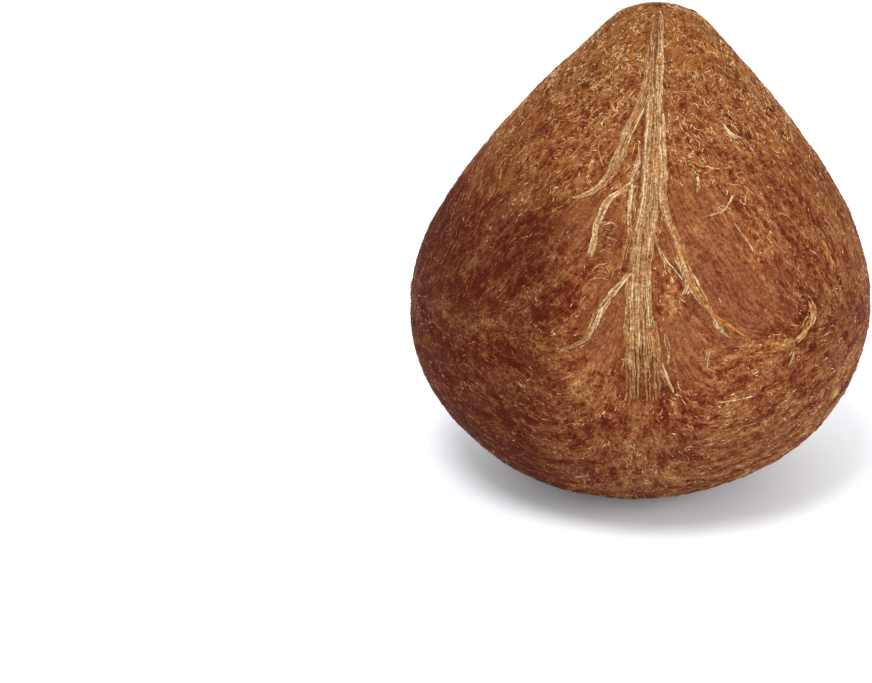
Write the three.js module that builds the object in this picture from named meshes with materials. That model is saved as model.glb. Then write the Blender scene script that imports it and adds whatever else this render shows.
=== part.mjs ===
import * as THREE from 'three';

// A whole coconut, standing point up on the small flat spot under its belly.
// Sizes are in millimetres and angles in degrees. The origin is the centre of
// the flat spot, +Z is up, and -Y is the side that carries the main vein.

// The outline, seen from the side: a round tip, a long flank that bends ever
// faster into the widest level, and a belly that ends at the flat spot.
const HEIGHT = 105;
const WIDTH = 100;
const WIDEST_LEVEL = 38.5;
const TIP_RADIUS = 16;
const TIP_SLOPE = 45.5;
const FLANK_FULLNESS = 0.83;
const SHOULDER_FULLNESS = 0.6;
const REST_SPOT_DIAMETER = 28;
const LEAN = 2;

// Three blunt ridges run from the tip to the belly, one of them at the front.
const RIDGE_COUNT = 3;
const RIDGE_RISE = 0.6;
const FRONT_ANGLE = -90;

// The main vein is a raised band on the front ridge, wider lower down.
const VEIN_RISE = 0.6;
const VEIN_TOP_WIDTH = 2.2;
const VEIN_FOOT_WIDTH = 6.5;
const VEIN_FOOT_LEVEL = 24;
const VEIN_FADE = 14;

// How finely the surface is cut into facets.
const COLUMNS = 84;
const COLUMN_CROWDING = 0.55;
const TIP_RINGS = 7;
const FLANK_RINGS = 22;
const BELLY_RINGS = 13;

const { sin, cos, tan, acos, atan2, abs, sqrt, exp, hypot, PI } = Math;
const { degToRad, clamp, lerp, smoothstep, euclideanModulo } = THREE.MathUtils;

const halfWidth = WIDTH / 2;
const restRadius = REST_SPOT_DIAMETER / 2;
const tipSlope = degToRad(TIP_SLOPE);
const front = degToRad(FRONT_ANGLE);

function tipPoint(t) {
  const turn = t * tipSlope;
  const level = HEIGHT - TIP_RADIUS + TIP_RADIUS * cos(turn);
  return new THREE.Vector2(TIP_RADIUS * sin(turn), level);
}

// One curve joins the tip to the widest level. Its two handles lie along the
// tip's last slope and straight up from the widest level, and the fullness
// says how far each reaches to the corner where those two lines cross.
function flankCurve() {
  const top = tipPoint(1);
  const foot = new THREE.Vector2(halfWidth, WIDEST_LEVEL);
  const corner = new THREE.Vector2(halfWidth, top.y - (halfWidth - top.x) * tan(tipSlope));
  const topHandle = top.clone().lerp(corner, FLANK_FULLNESS);
  const footHandle = foot.clone().lerp(corner, SHOULDER_FULLNESS);
  return new THREE.CubicBezierCurve(top, topHandle, footHandle, foot);
}

// The belly is a quarter of an ellipse, cut flat at the resting spot.
function bellyPoint(t) {
  const depth = WIDEST_LEVEL / sqrt(1 - (restRadius / halfWidth) ** 2);
  const turn = t * acos(restRadius / halfWidth);
  return new THREE.Vector2(halfWidth * cos(turn), WIDEST_LEVEL - depth * sin(turn));
}

// Points of one stretch of the outline, without its lowest one.
function stretch(pointAt, rings) {
  return Array.from({ length: rings }, (_, i) => pointAt(1 - (i + 1) / rings));
}

function outline() {
  const curve = flankCurve();
  const spotCentre = new THREE.Vector2(0, 0);
  const spotEdge = new THREE.Vector2(restRadius, 0);
  const belly = stretch(bellyPoint, BELLY_RINGS);
  const flank = stretch((t) => curve.getPoint(t), FLANK_RINGS);
  const tip = stretch(tipPoint, TIP_RINGS);
  return [spotCentre, spotEdge, ...belly, ...flank, ...tip];
}

// 0 at the resting spot and at the tip, 1 at the widest level.
function girthShare(level) {
  const reach = level > WIDEST_LEVEL ? HEIGHT - WIDEST_LEVEL : WIDEST_LEVEL;
  return 1 - (abs(level - WIDEST_LEVEL) / reach) ** 2;
}

function ridgeRise(angle, level) {
  return RIDGE_RISE * girthShare(level) * cos(RIDGE_COUNT * (angle - front));
}

function veinRise(angle, level, radius) {
  const lowered = clamp((HEIGHT - level) / (HEIGHT - WIDEST_LEVEL), 0, 1);
  const width = lerp(VEIN_TOP_WIDTH, VEIN_FOOT_WIDTH, lowered);
  const turn = euclideanModulo(angle - front + PI, 2 * PI) - PI;
  const across = (turn * radius) / (width / 2);
  const foot = smoothstep(level, VEIN_FOOT_LEVEL, VEIN_FOOT_LEVEL + VEIN_FADE);
  const top = 1 - smoothstep(level, HEIGHT - TIP_RADIUS, HEIGHT);
  return VEIN_RISE * foot * top * exp(-across * across);
}

// Turning the outline gives a round body. Its columns are drawn together
// towards the vein, then the ridges, the vein and the lean are laid on it.
function coconutGeometry() {
  const geometry = new THREE.LatheGeometry(outline(), COLUMNS);
  geometry.rotateX(PI / 2);
  const position = geometry.getAttribute('position');
  for (let i = 0; i < position.count; i += 1) {
    const level = position.getZ(i);
    const radius = hypot(position.getX(i), position.getY(i));
    const evenAngle = atan2(position.getY(i), position.getX(i));
    const angle = evenAngle - COLUMN_CROWDING * sin(evenAngle - front);
    const reach = radius + ridgeRise(angle, level) + veinRise(angle, level, radius);
    const shift = level * tan(degToRad(LEAN));
    position.setXYZ(i, reach * cos(angle) + shift, reach * sin(angle), level);
  }
  geometry.computeVertexNormals();
  return geometry;
}

const skin = new THREE.MeshStandardMaterial({
  color: '#8f5a37',
  roughness: 0.75,
  metalness: 0,
});

const coconut = new THREE.Mesh(coconutGeometry(), skin);
coconut.name = 'coconut';

const model = new THREE.Group();
model.add(coconut);

export default model;
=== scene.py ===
"""A whole dried coconut in its fibrous brown skin, standing point up on its small flat spot.

Shapes are worked out in millimetres on a shared form, the CoconutForm, and scaled to metres where a
mesh is made. A place on the form is a polar angle down from the tip and a bearing round the upright
axis: bearing 0 is the front (-Y), which carries the main vein, and bearings grow to the right.
"""

import logging
import math
from dataclasses import dataclass, field
from enum import Enum

import bpy
import numpy as np
from mathutils import Euler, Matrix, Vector


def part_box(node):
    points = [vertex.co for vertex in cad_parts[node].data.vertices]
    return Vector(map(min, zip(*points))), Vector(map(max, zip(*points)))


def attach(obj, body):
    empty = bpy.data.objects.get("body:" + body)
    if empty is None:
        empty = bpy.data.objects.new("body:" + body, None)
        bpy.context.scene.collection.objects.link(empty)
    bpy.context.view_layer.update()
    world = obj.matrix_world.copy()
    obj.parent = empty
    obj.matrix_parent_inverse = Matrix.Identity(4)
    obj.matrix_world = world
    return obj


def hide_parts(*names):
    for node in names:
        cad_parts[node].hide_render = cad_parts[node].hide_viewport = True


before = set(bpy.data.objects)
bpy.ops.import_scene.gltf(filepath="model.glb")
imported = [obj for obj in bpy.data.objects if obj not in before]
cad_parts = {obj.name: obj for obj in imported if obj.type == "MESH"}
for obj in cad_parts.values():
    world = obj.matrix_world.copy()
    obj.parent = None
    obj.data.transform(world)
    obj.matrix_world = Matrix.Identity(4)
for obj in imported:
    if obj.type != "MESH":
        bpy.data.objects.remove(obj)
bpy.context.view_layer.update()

LOG = logging.getLogger("coconut")
MM = 0.001
NODE = "coconut"
BODY = "root"
VIEW_CENTRE = (0.0, 0.0, 0.05)
TURN = 2 * math.pi
# Keeps every place on the positive side of a noise lattice.
LATTICE_SHIFT = 1000.0
# The sRGB curve: a straight foot up to the knee, and a power above it.
SRGB_KNEE = 0.04045
SRGB_FOOT = 12.92
SRGB_OFFSET = 0.055
SRGB_POWER = 2.4


def smoothstep(low: float, high: float, value: np.ndarray) -> np.ndarray:
    """A smooth rise from 0 at low to 1 at high; with low above high, a smooth fall.

    Args:
        low: Where the result is 0.
        high: Where the result is 1.
        value: Where to read it.

    Returns:
        The share, between 0 and 1.
    """
    share = np.clip((value - low) / (high - low), 0.0, 1.0)
    return share * share * (3 - 2 * share)


def unit(vectors: np.ndarray) -> np.ndarray:
    """The vectors along the last axis, each made one long."""
    return vectors / np.maximum(np.linalg.norm(vectors, axis=-1, keepdims=True), 1e-12)


def blend(a: np.ndarray, b: np.ndarray, share: np.ndarray) -> np.ndarray:
    """A mix of a and b, all a at share 0 and all b at share 1."""
    return a + (b - a) * share


def linear_colour(hex_code: str) -> tuple[float, float, float, float]:
    """A colour as Blender's linear red, green, blue and alpha.

    Args:
        hex_code: Six hexadecimal digits in display values, such as "8f5a37".

    Returns:
        The four linear values, with alpha 1.
    """
    shown = [int(hex_code[i : i + 2], 16) / 255 for i in (0, 2, 4)]
    red, green, blue = (
        c / SRGB_FOOT if c <= SRGB_KNEE else ((c + SRGB_OFFSET) / (1 + SRGB_OFFSET)) ** SRGB_POWER
        for c in shown
    )
    return (red, green, blue, 1.0)


@dataclass
class SmoothNoise:
    """Seeded noise in space: random values on a lattice, joined smoothly."""

    seed: int
    cells: int = 48
    table: np.ndarray = field(init=False, repr=False)

    def __post_init__(self) -> None:
        """Draws the lattice's values."""
        self.table = np.random.default_rng(self.seed).uniform(-1, 1, (self.cells,) * 3)

    def at(self, places: np.ndarray, wavelength: float) -> np.ndarray:
        """The noise at some places.

        Args:
            places: Points in millimetres, along the last axis.
            wavelength: The lattice's spacing in millimetres.

        Returns:
            Values between -1 and 1.
        """
        scaled = places / wavelength + LATTICE_SHIFT
        base = np.floor(scaled).astype(np.int64)
        share = scaled - base
        share = share * share * (3 - 2 * share)
        total = np.zeros(places.shape[:-1])
        for corner in range(8):
            step = np.array([corner & 1, corner >> 1 & 1, corner >> 2 & 1])
            weight = np.prod(np.where(step == 1, share, 1 - share), axis=-1)
            i, j, k = np.moveaxis((base + step) % self.cells, -1, 0)
            total += weight * self.table[i, j, k]
        return total


@dataclass
class CellNoise:
    """Seeded cells in space, each the room round one random point."""

    seed: int
    cells: int = 48
    points: np.ndarray = field(init=False, repr=False)

    def __post_init__(self) -> None:
        """Draws a point for each cube of the lattice."""
        self.points = np.random.default_rng(self.seed).uniform(0.12, 0.88, (self.cells,) * 3 + (3,))

    def depth(self, places: np.ndarray, along: np.ndarray, size: float, stretch: np.ndarray) -> np.ndarray:
        """How deep inside a cell some places are.

        Args:
            places: Points in millimetres, along the last axis.
            along: The unit direction in which the cells are drawn out, at each place.
            size: The cells' width in millimetres.
            stretch: How many times longer than wide they are, at each place.

        Returns:
            0 on the walls between cells, rising to about 0.6 in the middle of a large one.
        """
        scaled = places / size + LATTICE_SHIFT
        base = np.floor(scaled).astype(np.int64)
        first = np.full(places.shape[:-1], np.inf)
        second = first.copy()
        for number in range(27):
            step = np.array([number % 3, number // 3 % 3, number // 9]) - 1
            i, j, k = np.moveaxis((base + step) % self.cells, -1, 0)
            gap = scaled - base - step - self.points[i, j, k]
            lengthwise = (gap * along).sum(-1)
            square = (gap**2).sum(-1) - lengthwise**2 * (1 - 1 / stretch**2)
            distance = np.sqrt(np.maximum(square, 0))
            second = np.minimum(second, np.maximum(first, distance))
            first = np.minimum(first, distance)
        return second - first


@dataclass
class CoconutForm:
    """The outline turned round, with three blunt ridges and a slight lean, as the frame has it."""

    height: float
    width: float
    widest_level: float = 38.5
    tip_radius: float = 16.0
    tip_slope: float = math.radians(45.5)
    flank_fullness: float = 0.83
    shoulder_fullness: float = 0.6
    rest_spot_radius: float = 14.0
    lean: float = math.radians(2.0)
    ridge_rise: float = 0.6
    ridge_count: int = 3
    steps: int = 160
    outline: np.ndarray = field(init=False, repr=False)
    run: np.ndarray = field(init=False, repr=False)

    def __post_init__(self) -> None:
        """Lays out the outline from the tip to the middle of the flat spot, with its running length."""
        half = self.width / 2
        share = np.linspace(0, 1, self.steps)
        turn = share * self.tip_slope
        cap_level = self.height - self.tip_radius + self.tip_radius * np.cos(turn)
        cap = np.stack([self.tip_radius * np.sin(turn), cap_level], 1)
        top, foot = cap[-1], np.array([half, self.widest_level])
        corner = np.array([half, top[1] - (half - top[0]) * math.tan(self.tip_slope)])
        high_handle = blend(top, corner, self.flank_fullness)
        handles = [top, high_handle, blend(foot, corner, self.shoulder_fullness), foot]
        rest = 1 - share
        weights = [rest**3, 3 * rest**2 * share, 3 * rest * share**2, share**3]
        flank = sum(w[:, None] * p for w, p in zip(weights, handles))
        depth = self.widest_level / math.sqrt(1 - (self.rest_spot_radius / half) ** 2)
        turn = share * math.acos(self.rest_spot_radius / half)
        belly = np.stack([half * np.cos(turn), self.widest_level - depth * np.sin(turn)], 1)
        spot = np.stack([self.rest_spot_radius * (1 - share), 0 * share], 1)
        self.outline = np.vstack([cap, flank[1:], belly[1:], spot[1:]])
        self.run = np.concatenate([[0], np.cumsum(np.linalg.norm(np.diff(self.outline, axis=0), axis=1))])

    def polar_of_level(self, level: float) -> float:
        """The polar angle of a level in millimetres, above the flat spot.

        Args:
            level: How high above the flat spot, in millimetres.

        Returns:
            The polar angle in radians.
        """
        levels = -self.outline[: -self.steps + 1, 1]
        run = self.run[: len(levels)]
        return float(np.interp(-level, levels, run)) / self.run[-1] * math.pi

    def level(self, polar: np.ndarray) -> np.ndarray:
        """The level in millimetres at some polar angles."""
        return np.interp(polar / math.pi * self.run[-1], self.run, self.outline[:, 1])

    def radius(self, polar: np.ndarray) -> np.ndarray:
        """The distance from the axis in millimetres at some polar angles, ridges left out."""
        return np.interp(polar / math.pi * self.run[-1], self.run, self.outline[:, 0])

    def place(self, polar: np.ndarray, bearing: np.ndarray) -> np.ndarray:
        """Points on the form.

        Args:
            polar: Angles down from the tip, from 0 to pi.
            bearing: Angles round from the front, growing to the right.

        Returns:
            Points in millimetres, along a new last axis.
        """
        run = polar / math.pi * self.run[-1]
        radius = np.interp(run, self.run, self.outline[:, 0])
        level = np.interp(run, self.run, self.outline[:, 1])
        reach = np.where(level > self.widest_level, self.height - self.widest_level, self.widest_level)
        girth = 1 - ((level - self.widest_level) / reach) ** 2
        radius = radius + self.ridge_rise * girth * np.cos(self.ridge_count * bearing)
        x = radius * np.sin(bearing) + level * math.tan(self.lean)
        return np.stack([x, -radius * np.cos(bearing), level], -1)

    def axes_at(self, polar: np.ndarray, bearing: np.ndarray) -> tuple[np.ndarray, np.ndarray, np.ndarray]:
        """Unit vectors at places on the form: down the outline, round to the right, and out.

        Args:
            polar: Where to read them.
            bearing: Where to read them.

        Returns:
            The three directions, each along a new last axis.
        """
        step = 1e-3
        polar = np.clip(polar, 2 * step, math.pi - 2 * step)
        down = unit(self.place(polar + step, bearing) - self.place(polar - step, bearing))
        right = unit(self.place(polar, bearing + step) - self.place(polar, bearing - step))
        out = unit(np.cross(down, right))
        return down, unit(np.cross(out, down)), out

    def unplace(self, direction: np.ndarray) -> tuple[np.ndarray, np.ndarray]:
        """The polar angle and bearing that a direction from the middle stands for."""
        polar = np.arctan2(np.hypot(direction[..., 0], direction[..., 1]), direction[..., 2])
        return polar, np.arctan2(direction[..., 0], -direction[..., 1])


@dataclass
class Grain:
    """Which way the fibres run, and how the skin differs from place to place.

    Angles are in degrees and cells in millimetres. The side ridges get a share of what the front one
    has, and the rest are strengths from 0 to 1.
    """

    form: CoconutForm
    noise: SmoothNoise = field(default_factory=lambda: SmoothNoise(seed=11))
    net: CellNoise = field(default_factory=lambda: CellNoise(seed=12))
    rows: int = 440
    columns: int = 880
    fan_angle: float = 31.0
    side_fan: float = 0.6
    seam: float = -120.0
    front_wrap: float = 102.0
    back_wrap: float = 90.0
    front_stray: float = 9.0
    back_stray: float = 24.0
    coarse_cell: float = 1.9
    broad_cell: float = 3.0
    small_cell: float = 1.2
    side_bare: float = 0.55
    side_bed: float = 0.45
    right_dark: float = 0.45
    back_dark: float = 0.5
    under_dark: float = 0.24
    patch_dark: float = 0.2
    crust_table: np.ndarray = field(init=False, repr=False)

    def __post_init__(self) -> None:
        """Works out the crust once, on an even net of polar angles and bearings."""
        polars = np.linspace(0, math.pi, self.rows)
        bearings = np.linspace(-math.pi, math.pi, self.columns)
        self.crust_table = self.make_crust(*np.meshgrid(polars, bearings, indexing="ij"))

    def from_ridge(self, bearing: np.ndarray) -> tuple[np.ndarray, np.ndarray]:
        """Degrees to the right of the nearest ridge, and whether that is the front one.

        Args:
            bearing: Where to read it.

        Returns:
            The degrees, and True in the front ridge's third.
        """
        sector = 360.0 / self.form.ridge_count
        degrees = np.degrees(bearing)
        local = np.mod(degrees + sector / 2, sector) - sector / 2
        return local, np.abs(degrees) <= sector / 2

    def turn(self, polar: np.ndarray, bearing: np.ndarray) -> np.ndarray:
        """How far the grain turns from straight down, towards the right.

        High up it fans out on both sides of each vein and runs straight down between them. Low down
        it lies round the belly, swung there from the front ridge's two sides.

        Args:
            polar: Where to read it.
            bearing: Where to read it.

        Returns:
            Angles in radians, which mean the same with half a turn added.
        """
        level = self.form.level(polar)
        local, front = self.from_ridge(bearing)
        fan = self.fan_angle * smoothstep(0, 16, np.abs(local)) * smoothstep(66, 42, np.abs(local))
        fan = np.sign(local) * fan * np.where(front, 1.0, self.side_fan)
        degrees = np.mod(np.degrees(bearing) - self.seam, 360) + self.seam
        away = np.abs(degrees)
        near = self.front_wrap * smoothstep(0, 26, away)
        wrap = np.sign(degrees) * blend(near, self.back_wrap, smoothstep(50, 120, away))
        behind = smoothstep(55, 110, away)
        level = level + behind * 10 * self.wobble(polar, bearing, 24.0, 31.0)
        low = smoothstep(57 + 12 * behind, 42 - 14 * behind, level)
        stray = self.wobble(polar, bearing, 13.0, 61.0)
        return np.radians(blend(fan, wrap, low) + stray * blend(self.front_stray, self.back_stray, behind))

    def along(self, polar: np.ndarray, bearing: np.ndarray, extra: np.ndarray | float = 0.0) -> np.ndarray:
        """The grain's direction in space, turned by an extra angle.

        Args:
            polar: Where to read it.
            bearing: Where to read it.
            extra: An angle in radians added to the grain's own turn.

        Returns:
            Unit vectors along a new last axis.
        """
        down, right, _ = self.form.axes_at(polar, bearing)
        turn = (self.turn(polar, bearing) + extra)[..., None]
        return np.cos(turn) * down + np.sin(turn) * right

    def streaks(self, polar: np.ndarray, bearing: np.ndarray, across: float, length: float) -> np.ndarray:
        """Noise smeared along the grain.

        Args:
            polar: Where to read it.
            bearing: Where to read it.
            across: The streaks' spacing in millimetres.
            length: How long they are, in millimetres.

        Returns:
            Values of about -1 to 1.
        """
        centre, along = self.form.place(polar, bearing), self.along(polar, bearing)
        steps = np.linspace(-0.5, 0.5, 9) * length
        values = sum(self.noise.at(centre + along * s, across) for s in steps)
        return values / len(steps) * math.sqrt(len(steps)) * 0.75

    def wobble(
        self, polar: np.ndarray, bearing: np.ndarray, wavelength: float, shift: float = 0.0
    ) -> np.ndarray:
        """Plain noise on the form, moved aside by a shift so that two calls differ."""
        return self.noise.at(self.form.place(polar, bearing) + shift, wavelength)

    def combed(self, polar: np.ndarray, bearing: np.ndarray) -> np.ndarray:
        """1 where the fibres lie neatly along the grain, and 0 in the crumbly felt near the tip."""
        level = self.form.level(polar) + 5 * self.wobble(polar, bearing, 9.0, 77.0)
        return blend(0.12, 1.0, smoothstep(96, 66, level))

    def make_crust(self, polar: np.ndarray, bearing: np.ndarray) -> np.ndarray:
        """The matted tan crust: a net of ridges drawn out along the grain, with wine pits between.

        Args:
            polar: Where to work it out.
            bearing: Where to work it out.

        Returns:
            1 on the crests of the net, and 0 in the bottoms of the pits.
        """
        combed = self.combed(polar, bearing)
        places, along = self.form.place(polar, bearing), self.along(polar, bearing)
        bent = places + 0.5 * self.wobble(polar, bearing, 2.4, 250.0)[..., None]
        low = smoothstep(60, 42, self.form.level(polar))
        coarse = self.net.depth(bent, along, self.coarse_cell, blend(1.1, 2.1, combed))
        broad = self.net.depth(bent + 600.0, along, self.broad_cell, blend(1.0, 2.0, combed))
        coarse = blend(coarse, broad, low)
        small = self.net.depth(bent + 300.0, along, self.small_cell, blend(1.0, 1.9, combed))
        crests = 0.6 * smoothstep(0.45, 0.02, coarse) + 0.4 * smoothstep(0.4, 0.02, small)
        streak = self.streaks(polar, bearing, 1.4, 3.4)
        crumbs = self.wobble(polar, bearing, 1.3, 130.0)
        return smoothstep(0.0, 1.0, 0.08 + 0.82 * crests + 0.28 * combed * streak + 0.24 * crumbs)

    def crust(self, polar: np.ndarray, bearing: np.ndarray) -> np.ndarray:
        """The crust's height share, read from its table.

        Args:
            polar: Where to read it.
            bearing: Where to read it.

        Returns:
            1 on the crests, and 0 in the pits.
        """
        row = np.clip(polar / math.pi, 0, 1) * (self.rows - 1)
        column = np.mod(bearing / TURN + 0.5, 1.0) * (self.columns - 1)
        i = np.minimum(row.astype(int), self.rows - 2)
        j = np.minimum(column.astype(int), self.columns - 2)
        down, across = row - i, column - j
        upper = blend(self.crust_table[i, j], self.crust_table[i, j + 1], across)
        lower = blend(self.crust_table[i + 1, j], self.crust_table[i + 1, j + 1], across)
        return blend(upper, lower, down)

    def bareness(self, polar: np.ndarray, bearing: np.ndarray) -> np.ndarray:
        """1 where the skin is smooth and nearly free of fibres: in patches beside each vein.

        Args:
            polar: Where to read it.
            bearing: Where to read it.

        Returns:
            The share, between 0 and 1.
        """
        level = self.form.level(polar)
        local, front = self.from_ridge(bearing)
        closest = np.full(level.shape, -9.0)
        for middle, height, half_width, half_height in BARE_PATCHES:
            away = np.hypot((local - middle) / half_width, (level - height) / half_height)
            closest = np.maximum(closest, 1 - away)
        edge = 0.3 * self.wobble(polar, bearing, 5.0, 70.0) + 0.2 * self.wobble(polar, bearing, 2.0, 150.0)
        return smoothstep(-0.1, 0.4, closest + edge) * np.where(front, 1.0, self.side_bare)

    def dark_skin_and_shade(self, polar: np.ndarray, bearing: np.ndarray) -> np.ndarray:
        """1 where the skin is darker: low on the left, on the right, round the back, towards the bottom and
        in patches.

        Args:
            polar: Where to read it.
            bearing: Where to read it.

        Returns:
            The share, between 0 and 1.
        """
        level, degrees = self.form.level(polar), np.degrees(bearing)
        # The low left is partly the skin's own dark wine brown and partly painted shade on that side.
        left = smoothstep(-4, -34, degrees) * smoothstep(-165, -120, degrees) * smoothstep(88, 58, level)
        right = smoothstep(86, 70, level) * smoothstep(34, 46, level)
        right = self.right_dark * smoothstep(28, 46, degrees) * right
        back = self.back_dark * smoothstep(110, 150, np.abs(degrees)) * smoothstep(70, 35, level)
        patchy = self.wobble(polar, bearing, 11.0, 40.0)
        under = self.under_dark * smoothstep(42, 22, level)
        worst = np.max([left, right, back, under], axis=0)
        return np.clip(worst + self.patch_dark * patchy * smoothstep(92, 74, level), 0, 1)

    def bed(self, polar: np.ndarray, bearing: np.ndarray) -> np.ndarray:
        """1 under the vein bundles that run down the ridges.

        Args:
            polar: Where to read it.
            bearing: Where to read it.

        Returns:
            The share, between 0 and 1.
        """
        level = self.form.level(polar)
        local, front = self.from_ridge(bearing)
        lowered = np.clip((self.form.height - level) / (self.form.height - self.form.widest_level), 0, 1)
        across = np.radians(local) * self.form.radius(polar) / blend(1.3, 3.1, lowered)
        fade = smoothstep(28, 46, level) * smoothstep(105, 94, level)
        return np.exp(-across * across) * fade * np.where(front, 1.0, self.side_bed)

    def tip_glow(self, polar: np.ndarray, bearing: np.ndarray) -> np.ndarray:
        """1 on the orange tan cap round the tip, with a trace of it all over the upper flanks."""
        level = self.form.level(polar) + 2.5 * self.wobble(polar, bearing, 4.0, 20.0)
        return 0.3 * smoothstep(60, 82, level) + 0.7 * smoothstep(88, 102, level)


class MarkKind(Enum):
    """The small single marks in the skin."""

    PIT = -1.0
    KNOB = 1.0


@dataclass(frozen=True)
class Mark:
    """One small mark: where it is, its half length and half width in millimetres, and its height."""

    kind: MarkKind
    bearing: float
    level: float
    length: float
    width: float
    height: float


@dataclass
class Relief:
    """The height of the skin over the form, in millimetres."""

    form: CoconutForm
    grain: Grain
    marks: tuple[Mark, ...]
    swell: float = 0.35
    lumps: float = 0.16
    crust: float = 0.26
    vein_bed: float = 0.4
    bare_calm: float = 0.7

    def mark_share(self, mark: Mark, polar: np.ndarray, bearing: np.ndarray) -> np.ndarray:
        """How strongly one mark shows, from 0 to 1.

        Args:
            mark: The mark.
            polar: Where to read it.
            bearing: Where to read it.

        Returns:
            1 in the mark's middle, falling to 0 round it.
        """
        radius = max(float(self.form.radius(np.array(self.form.polar_of_level(mark.level)))), 1.0)
        turned = np.mod(bearing - math.radians(mark.bearing) + math.pi, TURN) - math.pi
        across = turned * radius / mark.length
        slope = (self.form.level(polar) - mark.level) / mark.width
        return np.exp(-(across**2) - slope**2)

    def marked(self, kind: MarkKind, polar: np.ndarray, bearing: np.ndarray) -> np.ndarray:
        """How strongly any mark of a kind shows, from 0 to 1."""
        shares = [self.mark_share(m, polar, bearing) for m in self.marks if m.kind is kind]
        return np.max(shares, axis=0)

    def height(self, polar: np.ndarray, bearing: np.ndarray) -> np.ndarray:
        """How far the skin stands out at some places.

        Args:
            polar: Where to read it.
            bearing: Where to read it.

        Returns:
            Heights in millimetres over the form.
        """
        rough = 1 - self.bare_calm * self.grain.bareness(polar, bearing)
        total = self.swell * self.grain.wobble(polar, bearing, 17.0)
        total += self.lumps * rough * self.grain.wobble(polar, bearing, 3.6, 90.0)
        total += self.crust * rough * (self.grain.crust(polar, bearing) - 0.5)
        total += self.vein_bed * self.grain.bed(polar, bearing)
        for mark in self.marks:
            total += mark.kind.value * mark.height * self.mark_share(mark, polar, bearing)
        return total * smoothstep(0.0, 3.0, self.form.level(polar))

    def place(self, polar: np.ndarray, bearing: np.ndarray, lift: np.ndarray | float = 0.0) -> np.ndarray:
        """Points on the skin, or a lift above it, in millimetres.

        Args:
            polar: Where to read it.
            bearing: Where to read it.
            lift: How far above the skin, in millimetres.

        Returns:
            Points along a new last axis.
        """
        _, _, out = self.form.axes_at(polar, bearing)
        rise = self.height(polar, bearing) + lift
        return self.form.place(polar, bearing) + out * rise[..., None]


def new_attribute(mesh: bpy.types.Mesh, name: str, values: np.ndarray) -> None:
    """Stores a number or a direction for each vertex, for a material to read.

    Args:
        mesh: The mesh to store them on.
        name: The attribute's name.
        values: One number for each vertex, or one row of three.
    """
    kind, slot = ("FLOAT", "value") if values.ndim == 1 else ("FLOAT_VECTOR", "vector")
    layer = mesh.attributes.new(name=name, type=kind, domain="POINT")
    layer.data.foreach_set(slot, values.astype(np.float32).ravel())


def select_only(piece: bpy.types.Object) -> None:
    """Makes a piece the only selected object, and the active one.

    Args:
        piece: The piece to select.
    """
    bpy.ops.object.select_all(action="DESELECT")
    piece.select_set(True)
    bpy.context.view_layer.objects.active = piece


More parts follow.
